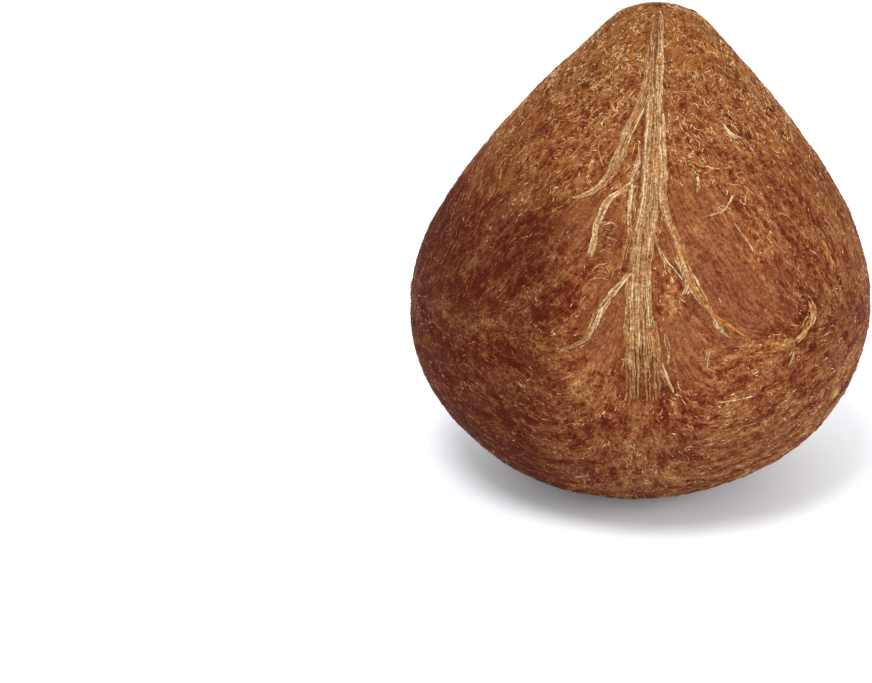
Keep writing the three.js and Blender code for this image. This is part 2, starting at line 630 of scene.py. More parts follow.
@dataclass
class NodeTree:
    """A short way to build a material's nodes."""

    name: str
    material: bpy.types.Material = field(init=False)
    shader: bpy.types.Node = field(init=False)

    def __post_init__(self) -> None:
        """Makes the material with its one Principled shader."""
        self.material = bpy.data.materials.new(self.name)
        self.material.use_nodes = True
        self.shader = self.material.node_tree.nodes["Principled BSDF"]

    def add(self, kind: str, **settings: object) -> bpy.types.Node:
        """Adds a node, with its properties set.

        Args:
            kind: The node's type.
            settings: Its properties, by name.

        Returns:
            The new node.
        """
        node = self.material.node_tree.nodes.new(kind)
        for key, value in settings.items():
            setattr(node, key, value)
        return node

    def link(self, source: bpy.types.NodeSocket, target: bpy.types.NodeSocket) -> None:
        """Joins two sockets."""
        self.material.node_tree.links.new(source, target)

    def feed(self, node: bpy.types.Node, values: dict[str | int, object]) -> bpy.types.Node:
        """Gives inputs of a node a socket to read, or a number.

        Args:
            node: The node.
            values: A socket or a number for each input, by its name or place.

        Returns:
            The same node.
        """
        for key, value in values.items():
            if isinstance(value, bpy.types.NodeSocket):
                self.link(value, node.inputs[key])
            else:
                node.inputs[key].default_value = value
        return node

    def attribute(self, name: str, output: str = "Fac") -> bpy.types.NodeSocket:
        """A vertex attribute, as a number or as another of its outputs."""
        return self.add("ShaderNodeAttribute", attribute_name=name).outputs[output]

    def place(self) -> bpy.types.NodeSocket:
        """The Object coordinates, in metres."""
        return self.add("ShaderNodeTexCoord").outputs["Object"]

    def moved(
        self, place: bpy.types.NodeSocket, along: bpy.types.NodeSocket, reach: float
    ) -> bpy.types.NodeSocket:
        """A place moved by a reach in metres times a direction."""
        node = self.add("ShaderNodeVectorMath", operation="MULTIPLY_ADD")
        return self.feed(node, {0: along, 1: (reach,) * 3, 2: place}).outputs[0]

    def noise(
        self, scale: float, detail: float, roughness: float = 0.5, curl: float = 0.0
    ) -> bpy.types.NodeSocket:
        """Noise on Object coordinates.

        Args:
            scale: Waves per metre.
            detail: How many finer layers lie on the first.
            roughness: How strong the finer layers are.
            curl: How far it bends itself.

        Returns:
            The noise, from about 0 to 1.
        """
        values = {"Scale": scale, "Detail": detail, "Roughness": roughness, "Distortion": curl}
        node = self.add("ShaderNodeTexNoise")
        return self.feed(node, {"Vector": self.place(), **values}).outputs["Fac"]

    def smeared(
        self, direction: str, scale: float, reach: float, taps: int = 5, detail: float = 1.5
    ) -> bpy.types.NodeSocket:
        """Noise smeared along a direction attribute, so that it lies in streaks.

        Args:
            direction: The attribute's name.
            scale: The noise's waves per metre.
            reach: The streaks' length in metres.
            taps: How many readings are averaged.
            detail: How many finer layers the noise has.

        Returns:
            The average, spread back to about 0 to 1.
        """
        place, along = self.place(), self.attribute(direction, "Vector")
        total: object = 0.0
        for tap in range(taps):
            step = (tap / (taps - 1) - 0.5) * reach
            node = self.add("ShaderNodeTexNoise")
            self.feed(node, {"Vector": self.moved(place, along, step), "Scale": scale, "Detail": detail})
            total = self.maths("ADD", total, node.outputs["Fac"])
        spread = 0.15 * taps
        return self.range(total, (0.5 * taps - spread, 0.5 * taps + spread), (0.0, 1.0))

    def net(self, scale: float, wave: float = 0.8, crest: float = 0.32) -> bpy.types.NodeSocket:
        """A fine net of crests, near 1 on them and 0 between.

        Args:
            scale: Cells per metre.
            wave: How much the net is bent, and how broadly, in shares of its cells.
            crest: How wide the crests are, as a share of a cell.

        Returns:
            The height of the net.
        """
        place = self.place()
        bend = self.feed(self.add("ShaderNodeTexNoise"), {"Vector": place, "Scale": scale * wave})
        node = self.add("ShaderNodeTexVoronoi", feature="DISTANCE_TO_EDGE")
        self.feed(node, {"Vector": self.moved(place, bend.outputs["Color"], wave / scale), "Scale": scale})
        return self.range(node.outputs["Distance"], (0.0, crest), (1.0, 0.0))

    def maths(self, operation: str, a: object, b: object, clamp: bool = False) -> bpy.types.NodeSocket:
        """One sum on two sockets or numbers.

        Args:
            operation: The sum's name, such as ADD.
            a: The first socket or number.
            b: The second socket or number.
            clamp: True to hold the result between 0 and 1.

        Returns:
            The result.
        """
        node = self.add("ShaderNodeMath", operation=operation, use_clamp=clamp)
        return self.feed(node, {0: a, 1: b}).outputs[0]

    def blend(self, share: bpy.types.NodeSocket, a: object, b: object) -> bpy.types.NodeSocket:
        """A mix of two numbers, all a at share 0."""
        spread = self.maths("SUBTRACT", b, a)
        return self.maths("ADD", a, self.maths("MULTIPLY", spread, share))

    def ramp(self, value: bpy.types.NodeSocket, stops: list[tuple[float, str]]) -> bpy.types.NodeSocket:
        """A colour read off a row of stops, each a position and a colour.

        Args:
            value: Where on the row to read it.
            stops: The row, with its lowest position first.

        Returns:
            The colour.
        """
        node = self.add("ShaderNodeValToRGB")
        points = node.color_ramp.elements
        points[0].position, points[1].position = stops[0][0], stops[-1][0]
        points[0].color, points[1].color = linear_colour(stops[0][1]), linear_colour(stops[-1][1])
        for position, colour in stops[1:-1]:
            points.new(position).color = linear_colour(colour)
        self.link(value, node.inputs["Fac"])
        return node.outputs["Color"]

    def mix(self, share: bpy.types.NodeSocket, a: object, b: object) -> bpy.types.NodeSocket:
        """A mix of two colours.

        Args:
            share: 0 for all a, and 1 for all b.
            a: A socket, or a colour in hexadecimal digits.
            b: A socket, or a colour in hexadecimal digits.

        Returns:
            The mixed colour.
        """
        node = self.add("ShaderNodeMix", data_type="RGBA")
        first, second = (linear_colour(c) if isinstance(c, str) else c for c in (a, b))
        return self.feed(node, {"Factor": share, "A": first, "B": second}).outputs["Result"]

    def range(
        self, value: bpy.types.NodeSocket, old: tuple[float, float], new: tuple[float, float]
    ) -> bpy.types.NodeSocket:
        """A value moved from one range to another, and held inside it.

        Args:
            value: The value to move.
            old: The range it comes from.
            new: The range it goes to.

        Returns:
            The moved value.
        """
        node = self.add("ShaderNodeMapRange", clamp=True)
        ends = dict(zip(("From Min", "From Max", "To Min", "To Max"), old + new))
        return self.feed(node, {"Value": value, **ends}).outputs["Result"]

    def bump(self, height: bpy.types.NodeSocket, distance: float, strength: float) -> None:
        """Roughens the surface by a height in shares of a distance in metres.

        Args:
            height: How high the surface is, as a share.
            distance: The height of 1, in metres.
            strength: How much of it shows.
        """
        node = self.add("ShaderNodeBump")
        self.feed(node, {"Distance": distance, "Strength": strength, "Height": height})
        self.feed(self.shader, {"Normal": node.outputs["Normal"]})


@dataclass(frozen=True)
class SkinFinish:
    """The brown testa: wine in the hollows, tan on what stands out, orange round the tip."""

    hollow: str = "4b1809"
    wine: str = "6a2e19"
    rust: str = "874c2b"
    tan: str = "9f6e42"
    khaki: str = "bc955e"
    # Dark wine brown, which on the low left also paints shade.
    dark_and_shade: str = "441205"
    tip: str = "95602a"
    bare: str = "6b3020"
    bed: str = "7d4a28"
    pale: str = "bfa65e"
    roughness: float = 0.74
    specular: float = 0.05

    def material(self) -> bpy.types.Material:
        """Builds the material.

        Returns:
            The finished material.
        """
        tree = NodeTree("coconut_skin")
        streak = tree.smeared("grain", 1800.0, 0.0018)
        curls = tree.range(tree.noise(1000.0, 3.0, 0.65, 1.6), (0.28, 0.72), (0.0, 1.0))
        crumbs = tree.blend(tree.maths("MULTIPLY", tree.attribute("combed"), 0.45), curls, streak)
        crumbs = tree.blend(0.2, crumbs, tree.net(700.0))
        spread = tree.range(crumbs, (0.2, 0.8), (-0.36, 0.36))
        tone = tree.maths("ADD", tree.attribute("tone"), spread, clamp=True)
        colours = (self.hollow, self.wine, self.rust, self.tan, self.khaki)
        colour = tree.ramp(tone, list(zip((0.08, 0.3, 0.52, 0.75, 1.0), colours)))
        haze = tree.blend(0.25, tree.noise(620.0, 5.0, 0.8, 1.8), streak)
        haze = tree.range(haze, (0.43, 0.62), (0.0, 0.85))
        bare = tree.maths("MULTIPLY", tree.attribute("bare"), 0.72)
        colour = tree.mix(bare, colour, tree.mix(haze, self.bare, self.tan))
        # The dark mix is partly the skin's own dark wine brown and partly painted shade on the low left.
        shade = tree.maths("MULTIPLY", tree.attribute("dark_and_shade"), tree.range(tone, (0.25, 1.0), (0.95, 0.6)))
        colour = tree.mix(shade, colour, self.dark_and_shade)
        glow = tree.maths("MULTIPLY", tree.attribute("glow"), tree.range(tone, (0.1, 0.6), (0.2, 0.8)))
        colour = tree.mix(glow, colour, self.tip)
        bed = tree.maths("MULTIPLY", tree.attribute("bed"), tree.range(crumbs, (0.3, 0.6), (0.35, 0.9)))
        colour = tree.mix(bed, colour, self.bed)
        colour = tree.mix(tree.attribute("knob"), colour, self.pale)
        colour = tree.mix(tree.attribute("pit"), colour, self.hollow)
        gloss = tree.range(crumbs, (0.3, 0.7), (self.roughness - 0.12, self.roughness + 0.15))
        looks = {"Base Color": colour, "Roughness": gloss, "Specular IOR Level": self.specular}
        tree.feed(tree.shader, looks)
        tree.bump(crumbs, 0.0006, 1.0)
        return tree.material


@dataclass(frozen=True)
class FibreFinish:
    """Dry fibres, whose tone runs from the skin's brown to pale straw, with orange stretches."""

    name: str
    stops: tuple[tuple[float, str], ...]
    orange: str = "a65e20"
    orange_share: float = 0.5
    roughness: float = 0.5
    specular: float = 0.14
    flecks: float = 0.18

    def material(self) -> bpy.types.Material:
        """Builds the material.

        Returns:
            The finished material.
        """
        tree = NodeTree(self.name)
        flecks = tree.noise(1900.0, 3.0, 0.65)
        bands = tree.noise(420.0, 2.0)
        flecking = (-self.flecks, self.flecks)
        tone = tree.maths("ADD", tree.attribute("tone"), tree.range(flecks, (0.32, 0.68), flecking))
        tone = tree.maths("ADD", tone, tree.range(bands, (0.3, 0.7), (-0.14, 0.14)), clamp=True)
        colour = tree.ramp(tone, list(self.stops))
        patches = tree.range(tree.noise(300.0, 2.0), (0.52, 0.68), (0.0, self.orange_share))
        colour = tree.mix(patches, colour, self.orange)
        gloss = tree.range(flecks, (0.3, 0.7), (self.roughness - 0.1, self.roughness + 0.15))
        looks = {"Base Color": colour, "Roughness": gloss, "Specular IOR Level": self.specular}
        tree.feed(tree.shader, looks)
        tree.bump(flecks, 0.0001, 0.6)
        return tree.material


@dataclass
class Skin:
    """The closed outer skin, a fine net of six square fields wrapped round the form."""

    form: CoconutForm
    grain: Grain
    relief: Relief
    finish: SkinFinish = SkinFinish()
    first_cuts: int = 1
    second_cuts: int = 62
    map_margin: float = 0.01

    def build(self) -> bpy.types.Object:
        """Makes the skin's mesh, its map and its attributes, and dresses it.

        Returns:
            The skin.
        """
        bpy.ops.object.select_all(action="DESELECT")
        bpy.ops.mesh.primitive_cube_add(size=2)
        piece = bpy.context.object
        piece.name = "coconut_skin"
        piece.data.name = piece.name
        bpy.ops.object.mode_set(mode="EDIT")
        bpy.ops.mesh.select_all(action="SELECT")
        bpy.ops.mesh.subdivide(number_cuts=self.first_cuts)
        bpy.ops.mesh.subdivide(number_cuts=self.second_cuts)
        bpy.ops.object.mode_set(mode="OBJECT")
        mesh = piece.data
        cube = np.empty(len(mesh.vertices) * 3, np.float32)
        mesh.vertices.foreach_get("co", cube)
        cube = cube.reshape(-1, 3).astype(float)
        self.lay_out_map(mesh, cube)
        polar, bearing = self.form.unplace(unit(np.tan(cube * math.pi / 4)))
        mesh.vertices.foreach_set("co", (self.relief.place(polar, bearing) * MM).astype(np.float32).ravel())
        self.mark(mesh, polar, bearing)
        mesh.update()
        select_only(piece)
        bpy.ops.object.shade_smooth()
        mesh.materials.append(self.finish.material())
        return piece

    def lay_out_map(self, mesh: bpy.types.Mesh, cube: np.ndarray) -> None:
        """Gives each of the six fields its own part of the map, three across and two up.

        Args:
            mesh: The skin's mesh.
            cube: Its vertices while it is still a cube from -1 to 1.
        """
        for old in list(mesh.uv_layers):
            mesh.uv_layers.remove(old)
        corners = np.empty(len(mesh.loops), np.int32)
        mesh.loops.foreach_get("vertex_index", corners)
        places = cube[corners].reshape(-1, 4, 3)
        middle = places.mean(1)
        axis = np.abs(middle).argmax(1)
        facing = np.take_along_axis(middle, axis[:, None], 1)[:, 0] > 0
        cell = axis + 3 * facing
        face = np.arange(len(axis))[:, None]
        corner = np.arange(4)[None]
        across = places[face, corner, ((axis + 1) % 3)[:, None]]
        up = places[face, corner, ((axis + 2) % 3)[:, None]]
        inner = 0.5 - self.map_margin
        u = (cell % 3)[:, None] / 3 + (0.5 + across * inner) / 3
        v = (cell // 3)[:, None] / 2 + (0.5 + up * inner) / 2
        layer = mesh.uv_layers.new(name="OFBake")
        layer.uv.foreach_set("vector", np.stack([u, v], -1).astype(np.float32).ravel())

    def mark(self, mesh: bpy.types.Mesh, polar: np.ndarray, bearing: np.ndarray) -> None:
        """Stores what the finish needs: how light, bare and orange the skin is, and how dark, partly as
        painted shade.

        Args:
            mesh: The skin's mesh.
            polar: The polar angle of each vertex.
            bearing: The bearing of each vertex.
        """
        streak = self.grain.streaks(polar, bearing, 1.3, 5.0)
        crust = self.grain.crust(polar, bearing)
        bands = self.grain.streaks(polar, bearing, 2.8, 13.0) * self.grain.combed(polar, bearing)
        patches = self.grain.wobble(polar, bearing, 7.0, 55.0)
        tone = 0.17 + 0.38 * crust + 0.1 * streak + 0.13 * bands + 0.05 * patches
        values = {
            "tone": np.clip(tone, 0, 1),
            "bare": self.grain.bareness(polar, bearing),
            "dark_and_shade": self.grain.dark_skin_and_shade(polar, bearing),
            "glow": self.grain.tip_glow(polar, bearing),
            "combed": self.grain.combed(polar, bearing),
            "bed": self.grain.bed(polar, bearing),
            "knob": self.relief.marked(MarkKind.KNOB, polar, bearing),
            "pit": self.relief.marked(MarkKind.PIT, polar, bearing),
            "grain": self.grain.along(polar, bearing),
        }
        for name, numbers in values.items():
            new_attribute(mesh, name, numbers)


@dataclass
class StrandMesh:
    """Many thin closed strands with pointed ends, joined into one mesh."""

    name: str
    sides: int = 3
    cell_share: float = 0.84
    cell_margin: float = 0.08
    batches: list[tuple[np.ndarray, ...]] = field(default_factory=list)

    def add(
        self,
        centres: np.ndarray,
        ups: np.ndarray,
        widths: np.ndarray,
        heights: np.ndarray,
        tones: np.ndarray,
    ) -> None:
        """Adds strands with as many rings each.

        Args:
            centres: Points along each strand, in millimetres: strand, ring, axis.
            ups: Which way is out of the skin there: strand, ring, axis.
            widths: Half the width at each ring: strand, ring.
            heights: Half the thickness at each ring: strand, ring.
            tones: How light it is, from 0 to 1: strand, ring.
        """
        self.batches.append((centres, ups, widths, heights, tones))

    def rings(self, batch: tuple[np.ndarray, ...]) -> np.ndarray:
        """The vertices of a batch: strand, vertex, axis. The first and last are its points.

        Args:
            batch: The strands, as add stored them.

        Returns:
            The vertices, in millimetres.
        """
        centres, ups, widths, heights, _ = batch
        along = unit(np.gradient(centres, axis=1))
        side = unit(np.cross(along, ups))
        up = np.cross(side, along)
        angles = np.arange(self.sides) / self.sides * TURN + math.pi / 2
        spread = side[:, :, None] * (widths[..., None] * np.cos(angles))[..., None]
        lift = up[:, :, None] * (heights[..., None] * np.sin(angles))[..., None]
        ring = centres[:, :, None] + spread + lift
        inner = ring[:, 1:-1].reshape(len(centres), -1, 3)
        return np.concatenate([centres[:, :1], inner, centres[:, -1:]], 1)

    def faces(self, ring_count: int) -> tuple[list[tuple[int, ...]], list[list[tuple[float, float]]]]:
        """One strand's faces, and where their corners lie in its cell of the map.

        Args:
            ring_count: How many rings the strand has, its points counted.

        Returns:
            The vertex numbers of each face, and their places in a cell one wide and one high.
        """
        k, inner = self.sides, ring_count - 2
        last = 1 + inner * k
        faces, corners = [], []
        for side in range(k):
            after = (side + 1) % k
            low, high = side / k, (side + 1) / k
            start, end = 1 / (ring_count - 1), inner / (ring_count - 1)
            faces.append((0, 1 + side, 1 + after))
            corners.append([(0.0, (low + high) / 2), (start, low), (start, high)])
            for ring in range(inner - 1):
                a, b = 1 + ring * k, 1 + (ring + 1) * k
                u, w = (ring + 1) / (ring_count - 1), (ring + 2) / (ring_count - 1)
                faces.append((a + side, b + side, b + after, a + after))
                corners.append([(u, low), (w, low), (w, high), (u, high)])
            a = 1 + (inner - 1) * k
            faces.append((a + side, last, a + after))
            corners.append([(end, low), (1.0, (low + high) / 2), (end, high)])
        return faces, corners

    def build(self, finish: FibreFinish) -> bpy.types.Object:
        """Makes the mesh with its map and tones, and dresses it.

        Args:
            finish: What it is made of.

        Returns:
            The piece.
        """
        cells = math.ceil(math.sqrt(sum(len(b[0]) for b in self.batches)))
        vertices, loops, starts, totals, places, tones = [], [], [], [], [], []
        vertex_base, loop_base, strand_base = 0, 0, 0
        for batch in self.batches:
            points, shades = self.rings(batch), batch[-1]
            count, per = points.shape[:2]
            faces, corners = self.faces(batch[0].shape[1])
            sizes = np.array([len(f) for f in faces])
            flat = np.concatenate([np.array(f) for f in faces])
            inside = np.concatenate([np.array(c) for c in corners])
            inside = inside * self.cell_share + self.cell_margin
            offset = vertex_base + np.arange(count)[:, None] * per
            loops.append((flat[None] + offset).ravel())
            first = np.concatenate([[0], np.cumsum(sizes)[:-1]])
            starts.append((first[None] + loop_base + np.arange(count)[:, None] * len(flat)).ravel())
            totals.append(np.tile(sizes, count))
            number = strand_base + np.arange(count)
            cell = np.stack([number % cells, number // cells], -1)
            places.append(((inside[None] + cell[:, None]) / cells).reshape(-1, 2))
            vertices.append(points.reshape(-1, 3))
            inner = np.repeat(shades[:, 1:-1], self.sides, axis=1)
            tones.append(np.concatenate([shades[:, :1], inner, shades[:, -1:]], 1).ravel())
            vertex_base += count * per
            loop_base += count * len(flat)
            strand_base += count
        mesh = bpy.data.meshes.new(self.name)
        joined = np.concatenate(vertices) * MM
        mesh.vertices.add(len(joined))
        mesh.vertices.foreach_set("co", joined.astype(np.float32).ravel())
        mesh.loops.add(loop_base)
        mesh.loops.foreach_set("vertex_index", np.concatenate(loops).astype(np.int32))
        mesh.polygons.add(len(np.concatenate(starts)))
        mesh.polygons.foreach_set("loop_start", np.concatenate(starts).astype(np.int32))
        mesh.polygons.foreach_set("loop_total", np.concatenate(totals).astype(np.int32))
        layer = mesh.uv_layers.new(name="OFBake")
        layer.uv.foreach_set("vector", np.concatenate(places).astype(np.float32).ravel())
        new_attribute(mesh, "tone", np.concatenate(tones))
        mesh.update(calc_edges=True)
        mesh.validate()
        mesh.shade_smooth()
        mesh.materials.append(finish.material())
        piece = bpy.data.objects.new(self.name, mesh)
        bpy.context.collection.objects.link(piece)
        return piece


@dataclass(frozen=True)
class VeinRoute:
    """One vein: the bearings and levels it runs through, how wide it is and what it is made of.

    The strands lie side by side in lanes, and each covers only a share of the route, its reach.
    """

    name: str
    points: tuple[tuple[float, float], ...]
    widths: tuple[float, ...]
    strands: int
    radius: float = 0.17
    tones: tuple[float, ...] = (0.5, 0.5)
    fray: float = 0.25
    wander: float = 0.14
    crown: float = 0.14
    reach: float = 0.5
    shift: float = 0.0
    stagger: float = 0.08


@dataclass
class Veins:
    """The raised vein bundles, each many strands lying side by side."""

    form: CoconutForm
    relief: Relief
    routes: tuple[VeinRoute, ...]
    name: str = "coconut_veins"
    seed: int = 5
    step: float = 1.1
    wave_length: float = 11.0
    sways: tuple[tuple[float, float], ...] = ((0.6, 3.0), (0.4, 9.0), (0.35, 19.0))

    def centre_line(self, route: VeinRoute, share: np.ndarray) -> tuple[np.ndarray, np.ndarray, np.ndarray]:
        """Polar angle, bearing and half width at shares of a route.

        Args:
            route: The vein.
            share: How far along it, from 0 to 1.

        Returns:
            The three values at each share.
        """
        bearings = [math.radians(degrees + route.shift) for degrees, _ in route.points]
        polars = [self.form.polar_of_level(level) for _, level in route.points]
        knots = np.stack([polars, bearings], 1)
        at = share * (len(knots) - 1)
        index = np.clip(at.astype(int), 0, len(knots) - 2)
        part = (at - index)[..., None]
        padded = np.vstack([2 * knots[0] - knots[1], knots, 2 * knots[-1] - knots[-2]])
        before, start, end, after = (padded[index + k] for k in range(4))
        curve = 2 * start + (end - before) * part
        curve = curve + (2 * before - 5 * start + 4 * end - after) * part**2
        curve = (curve + (3 * (start - end) + after - before) * part**3) / 2
        widths = np.interp(share, np.linspace(0, 1, len(route.widths)), route.widths)
        return curve[..., 0], curve[..., 1], widths / 2

    def strands(self, route: VeinRoute, rng: np.random.Generator) -> tuple[np.ndarray, ...]:
        """The strands of one vein, as StrandMesh.add takes them.

        Args:
            route: The vein.
            rng: Where the random numbers come from.

        Returns:
            Centres, outward directions, half widths, half heights and tones.
        """
        probe = self.form.place(*self.centre_line(route, np.linspace(0, 1, 60))[:2])
        length = np.linalg.norm(np.diff(probe, axis=0), axis=1).sum()
        rings = max(6, int(length * route.reach / self.step))
        count = max(2, int(route.strands / route.reach))
        first, last = route.stagger * rng.uniform(0, 1, (2, count)) ** 1.4
        middle = np.clip(rng.uniform(0, 1, count), first + 0.06, 0.94 - last)
        reach = route.reach * rng.uniform(0.6, 1.4, count) / 2
        start, end = np.maximum(middle - reach, first), np.minimum(middle + reach, 1 - last)
        along = np.linspace(0, 1, rings)
        share = start[:, None] + (end - start)[:, None] * along
        polar, bearing, half = self.centre_line(route, share)
        lane = np.linspace(-1, 1, count)[rng.permutation(count)]
        phase = rng.uniform(0, TURN, (count, 3))
        waves = length / self.wave_length
        sway = sum(
            size * np.sin(share * waves * rate + phase[:, k : k + 1])
            for k, (size, rate) in enumerate(self.sways)
        )
        loose = route.wander * (1 + 1.2 * np.abs(lane[:, None]) ** 3)
        offset = lane[:, None] * half * (1 + route.fray * share**4) + loose * sway
        bearing = bearing + offset / np.maximum(self.form.radius(polar), 4.0)
        crown = np.sqrt(np.clip(1 - lane**2, 0, 1))[:, None]
        size = route.radius * rng.uniform(0.55, 1.45, count)[:, None]
        taper = np.clip(np.minimum(along, 1 - along) * 9, 0.25, 1)
        lift = crown * half * route.crown + size * rng.uniform(-0.4, 1.0, count)[:, None]
        lift = lift + 0.07 * np.sin(share * waves * 5 + phase[:, 2:])
        lift = lift * np.clip(taper * 1.4 - 0.4, -0.3, 1) - 0.1 * (1 - taper)
        centres = self.relief.place(polar, bearing, lift)
        _, _, ups = self.form.axes_at(polar, bearing)
        tones = np.interp(share, np.linspace(0, 1, len(route.tones)), route.tones)
        tones = tones + rng.normal(0, 0.17, count)[:, None] + 0.07 * sway
        return centres, ups, size * taper * 1.2, size * taper * 0.8, np.clip(tones, 0.02, 1)

    def build(self, finish: FibreFinish) -> bpy.types.Object:
        """Makes every vein's strands as one piece.

        Args:
            finish: What the strands are made of.

        Returns:
            The piece.
        """
        rng = np.random.default_rng(self.seed)
        mesh = StrandMesh(self.name, sides=4)
        for route in self.routes:
            LOG.debug("%s: %s", self.name, route.name)
            mesh.add(*self.strands(route, rng))
        return mesh.build(finish)


class FibreKind(Enum):
    """The kinds of short fibre pressed into the skin."""

    CRUMB = "crumb"
    FELT = "felt"
    THREAD = "thread"
    # Pale short fibres whose light colour is partly painted highlight, standing in for glints on the fibres.
    PAINTED_GLINT = "painted_glint"


@dataclass(frozen=True)
class FibreSpec:
    """How many fibres of a kind there are, and their sizes in millimetres."""

    kind: FibreKind
    count: int
    length: tuple[float, float]
    width: tuple[float, float]
    lift: tuple[float, float]
    scatter: float
    curl: float
    tone: tuple[float, float]
    seed: int
    rings: int = 5


@dataclass
class Felt:
    """The loose fibres that lie flat on the skin along its grain."""

    form: CoconutForm
    grain: Grain
    relief: Relief

    def cover(self, polar: np.ndarray, bearing: np.ndarray, kind: FibreKind) -> np.ndarray:
        """How thickly a kind grows at some places, from 0 to 1.

        Args:
            polar: Where to read it.
            bearing: Where to read it.
            kind: The kind of fibre.

        Returns:
            The share of the skin that the kind covers.
        """
        level = self.form.level(polar)
        bare, dark_and_shade = self.grain.bareness(polar, bearing), self.grain.dark_skin_and_shade(polar, bearing)
        crust = self.grain.crust(polar, bearing)
        thin = 0.7 if kind is FibreKind.CRUMB else 0.88
        cover = (1 - thin * bare) * (1 - 0.3 * dark_and_shade) * blend(0.12, 1.0, crust)
        cover = cover * (1 - 0.8 * self.grain.bed(polar, bearing))
        if kind is not FibreKind.PAINTED_GLINT:
            cover = cover * blend(0.4, 1.0, smoothstep(54, 82, level))
        cover = cover * (1 - self.relief.marked(MarkKind.KNOB, polar, bearing))
        return cover * smoothstep(0.2, 2.0, level)

    def seeds(self, spec: FibreSpec, rng: np.random.Generator) -> tuple[np.ndarray, np.ndarray]:
        """Where the fibres of a kind are rooted, spread evenly over the skin and thinned by its cover.

        Args:
            spec: The kind, and how many fibres to root.
            rng: Where the random numbers come from.

        Returns:
            A polar angle and a bearing for each fibre.
        """
        polars, bearings, found = [], [], 0
        while found < spec.count:
            polar = rng.uniform(0.02, math.pi * 0.93, spec.count * 2)
            bearing = rng.uniform(-math.pi, math.pi, len(polar))
            chance = self.form.radius(polar) / (self.form.width / 2) * self.cover(polar, bearing, spec.kind)
            kept = rng.uniform(0, 1, len(polar)) < chance
            polars.append(polar[kept])
            bearings.append(bearing[kept])
            found += int(kept.sum())
        return np.concatenate(polars)[: spec.count], np.concatenate(bearings)[: spec.count]

    def local_tone(self, polar: np.ndarray, bearing: np.ndarray) -> np.ndarray:
        """How much lighter or darker than its kind a fibre is because of where it lies.

        Args:
            polar: Where to read it.
            bearing: Where to read it.

        Returns:
            What to add to the tone.
        """
        local = 0.3 * self.grain.wobble(polar, bearing, 3.0, 12.0)
        # Darker where the skin is dark, which on the low left is partly painted shade.
        local = local - 0.5 * self.grain.dark_skin_and_shade(polar, bearing)
        local = local + 0.2 * (self.grain.crust(polar, bearing) - 0.5)
        local = local - 0.3 * self.grain.bareness(polar, bearing)
        return local + blend(-0.12, 0.06, smoothstep(60, 84, self.form.level(polar)))

    def build(self, spec: FibreSpec, finish: FibreFinish) -> bpy.types.Object:
        """Makes one kind of fibre as one piece.

        Args:
            spec: The kind of fibre, its count and its sizes.
            finish: What it is made of.

        Returns:
            The piece.
        """
        rng = np.random.default_rng(spec.seed)
        polar, bearing = self.seeds(spec, rng)
        count = len(polar)
        length = rng.uniform(*spec.length, count)
        loose = 1 + 1.6 * (1 - self.grain.combed(polar, bearing))
        heading = self.grain.turn(polar, bearing) + rng.normal(0, spec.scatter, count) * loose
        bend = rng.normal(0, spec.curl, count) * loose
        share = np.linspace(-0.5, 0.5, spec.rings)
        radius = self.form.radius(polar)
        sideways = share[None] * length[:, None]
        bow = bend[:, None] * length[:, None] * (4 * share**2 - 0.33)[None] * 0.25
        down = np.cos(heading)[:, None] * sideways - np.sin(heading)[:, None] * bow
        right = np.sin(heading)[:, None] * sideways + np.cos(heading)[:, None] * bow
        polars = np.clip(polar[:, None] + down / self.form.run[-1] * math.pi, 0.01, math.pi - 0.01)
        bearings = bearing[:, None] + right / np.maximum(radius, 3.0)[:, None]
        width = rng.uniform(*spec.width, count)
        profile = np.sin((share + 0.5) * math.pi) ** 0.6
        high = rng.uniform(*spec.lift, count)
        lift = high[:, None] * profile[None] - 0.35 * width[:, None] * (1 - profile[None]) - 0.02
        centres = self.relief.place(polars, bearings, lift)
        _, _, ups = self.form.axes_at(polars, bearings)
        widths = width[:, None] / 2 * np.clip(profile, 0.3, 1)[None]
        heights = widths * 0.45
        tones = np.clip(rng.normal(*spec.tone, count) + self.local_tone(polar, bearing), 0, 1)
        tones = tones[:, None] * blend(0.7, 1.0, profile)[None]
        mesh = StrandMesh(f"coconut_{spec.kind.value}", sides=3)
        mesh.add(centres, ups, widths, heights, tones)
        return mesh.build(finish)


@dataclass(frozen=True)
class Lamp:
    """One soft rectangular light, aimed at the coconut."""

    name: str
    place: tuple[float, float, float]
    size: float
    watts: float

    def build(self, target: Vector) -> None:
        """Adds the light.

        Args:
            target: The point it shines at.
        """
        data = bpy.data.lights.new(self.name, "AREA")
        data.shape = "DISK"
        data.size = self.size
        data.energy = self.watts
        lamp = bpy.data.objects.new(self.name, data)
        lamp.location = self.place
        lamp.rotation_euler = (target - lamp.location).to_track_quat("-Z", "Y").to_euler()
        bpy.context.collection.objects.link(lamp)


